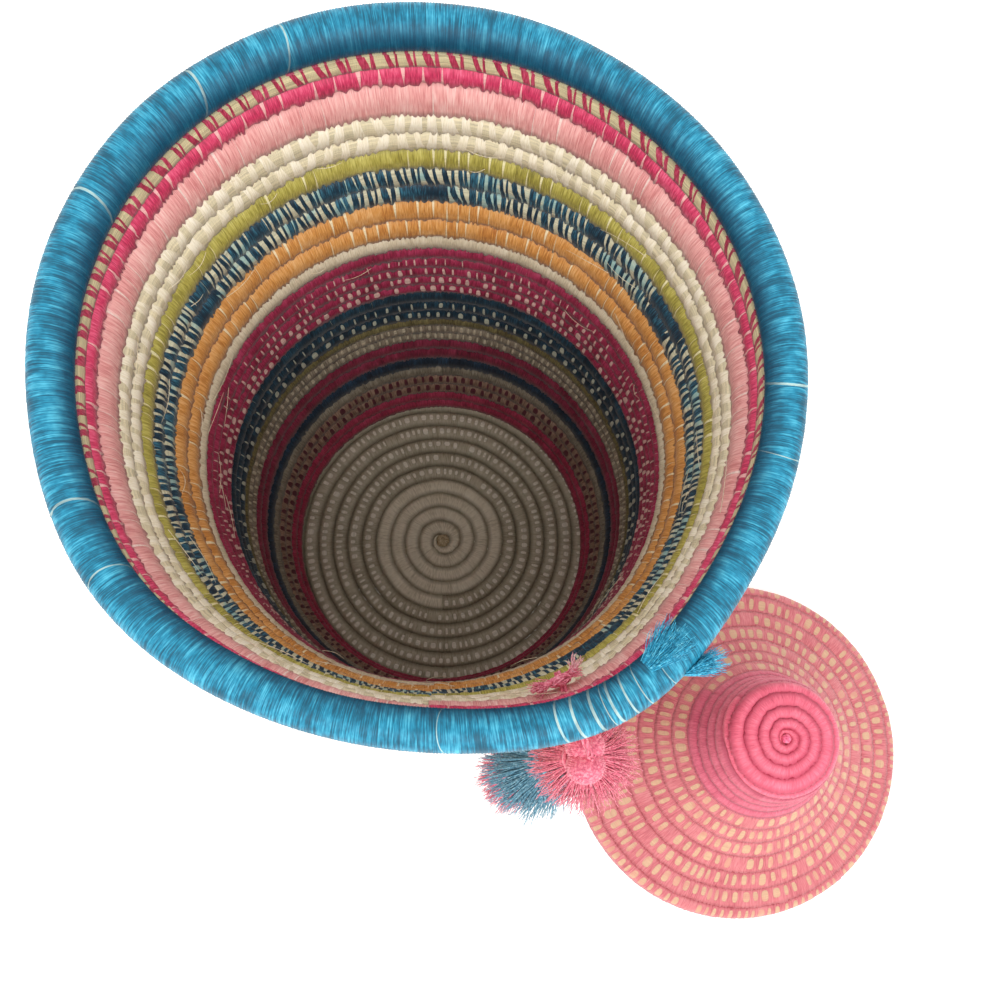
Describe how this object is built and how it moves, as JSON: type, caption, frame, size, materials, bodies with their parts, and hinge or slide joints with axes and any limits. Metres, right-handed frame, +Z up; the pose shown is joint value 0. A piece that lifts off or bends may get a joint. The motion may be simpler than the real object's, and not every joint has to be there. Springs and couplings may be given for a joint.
{
  "type": "lidded coiled basket",
  "caption": "Tall coiled basket banded in dyed raffia, with a wrapped mouth hoop, a separate bell-shaped lid with a drum knob, and a string of tassels hanging outside.",
  "frame": {"origin": "middle of the flat underside of the basket floor, on the surface it stands on", "axes": "+Z up along the basket axis; +X is the right and +Y the top of the picture; the lid stands beside it towards +X -Y"},
  "size_m": [0.4225, 0.3658, 0.3059],
  "materials": {
    "straw_grass": "undyed grass coil bound in natural raffia, matt with a faint sheen",
    "olive_grey_raffia": "olive grey dyed raffia with natural dots, matt",
    "crimson_raffia": "crimson dyed raffia, satin across the stitches",
    "dark_crimson_raffia": "dark crimson dyed raffia, satin",
    "brown_raffia": "brown dyed raffia with crimson dots, matt",
    "taupe_raffia": "taupe dyed raffia, matt",
    "navy_raffia": "navy dyed raffia over pale grass, satin",
    "olive_raffia": "olive dyed raffia, matt",
    "cream_raffia": "cream raffia, matt",
    "orange_raffia": "orange dyed raffia, satin",
    "lime_raffia": "lime dyed raffia, satin",
    "pink_raffia": "pink dyed raffia, satin",
    "blue_hoop_raffia": "turquoise blue raffia wrapped tight, silky",
    "tassel_pink": "loose pink raffia strands",
    "tassel_blue": "loose blue raffia strands",
    "lid_salmon": "salmon dyed raffia with straw dots, matt",
    "knob_pink": "hot pink raffia, satin"
  },
  "bodies": {
    "basket": {"floor_start": "straw_grass", "floor_natural_turns": "straw_grass", "floor_olive_turns": "olive_grey_raffia", "wall_foot_crimson": "crimson_raffia", "wall_brown_dotted": "brown_raffia", "wall_taupe_line": "taupe_raffia", "wall_navy_line": "navy_raffia", "wall_dark_crimson": "dark_crimson_raffia", "wall_taupe_dotted": "taupe_raffia", "wall_olive": "olive_raffia", "wall_navy_dotted": "navy_raffia", "wall_crimson": "crimson_raffia", "wall_cream_line": "cream_raffia", "wall_orange": "orange_raffia", "wall_navy_straw": "navy_raffia", "wall_lime": "lime_raffia", "wall_cream": "cream_raffia", "wall_pink": "pink_raffia", "wall_crimson_top": "crimson_raffia", "lid_ledge": "straw_grass", "hoop": "blue_hoop_raffia", "hoop_fray_outer": "blue_hoop_raffia", "hoop_fray_inner": "blue_hoop_raffia", "tassel_tie": "tassel_pink", "tie_knot": "tassel_pink"},
    "lid": {"lid_edge": "lid_salmon", "lid_brim_outer": "lid_salmon", "lid_brim_inner": "lid_salmon", "lid_knob_foot": "knob_pink", "lid_knob_side": "knob_pink", "lid_crown": "knob_pink", "lid_crown_start": "knob_pink"},
    "tassel_1": {"tassel_1_string": "tassel_pink", "tassel_1_head": "tassel_pink", "tassel_1_binding": "tassel_pink", "tassel_1_skirt": "tassel_pink"},
    "tassel_2": {"tassel_2_string": "tassel_blue", "tassel_2_head": "tassel_blue", "tassel_2_binding": "tassel_blue", "tassel_2_skirt": "tassel_blue"},
    "tassel_3": {"tassel_3_string": "tassel_pink", "tassel_3_head": "tassel_pink", "tassel_3_binding": "tassel_pink", "tassel_3_skirt": "tassel_pink"}
  },
  "joints": [
    {"name": "lid_lift", "type": "slide", "parent": "basket", "child": "lid", "axis": [0, 0, 1], "range_m": [0, 0.25]},
    {"name": "tassel_1_swing", "type": "hinge", "parent": "basket", "child": "tassel_1", "pos_m": [0.05581, -0.12835, 0.26164], "axis": [-0.9171, -0.3987, 0], "range_deg": [0, 45]},
    {"name": "tassel_2_swing", "type": "hinge", "parent": "tassel_1", "child": "tassel_2", "pos_m": [0.05481, -0.12935, 0.20904], "axis": [-0.9171, -0.3987, 0], "range_deg": [0, 35]},
    {"name": "tassel_3_swing", "type": "hinge", "parent": "tassel_2", "child": "tassel_3", "pos_m": [0.04509, -0.13712, 0.15791], "axis": [-0.9171, -0.3987, 0], "range_deg": [0, 35]}
  ]
}
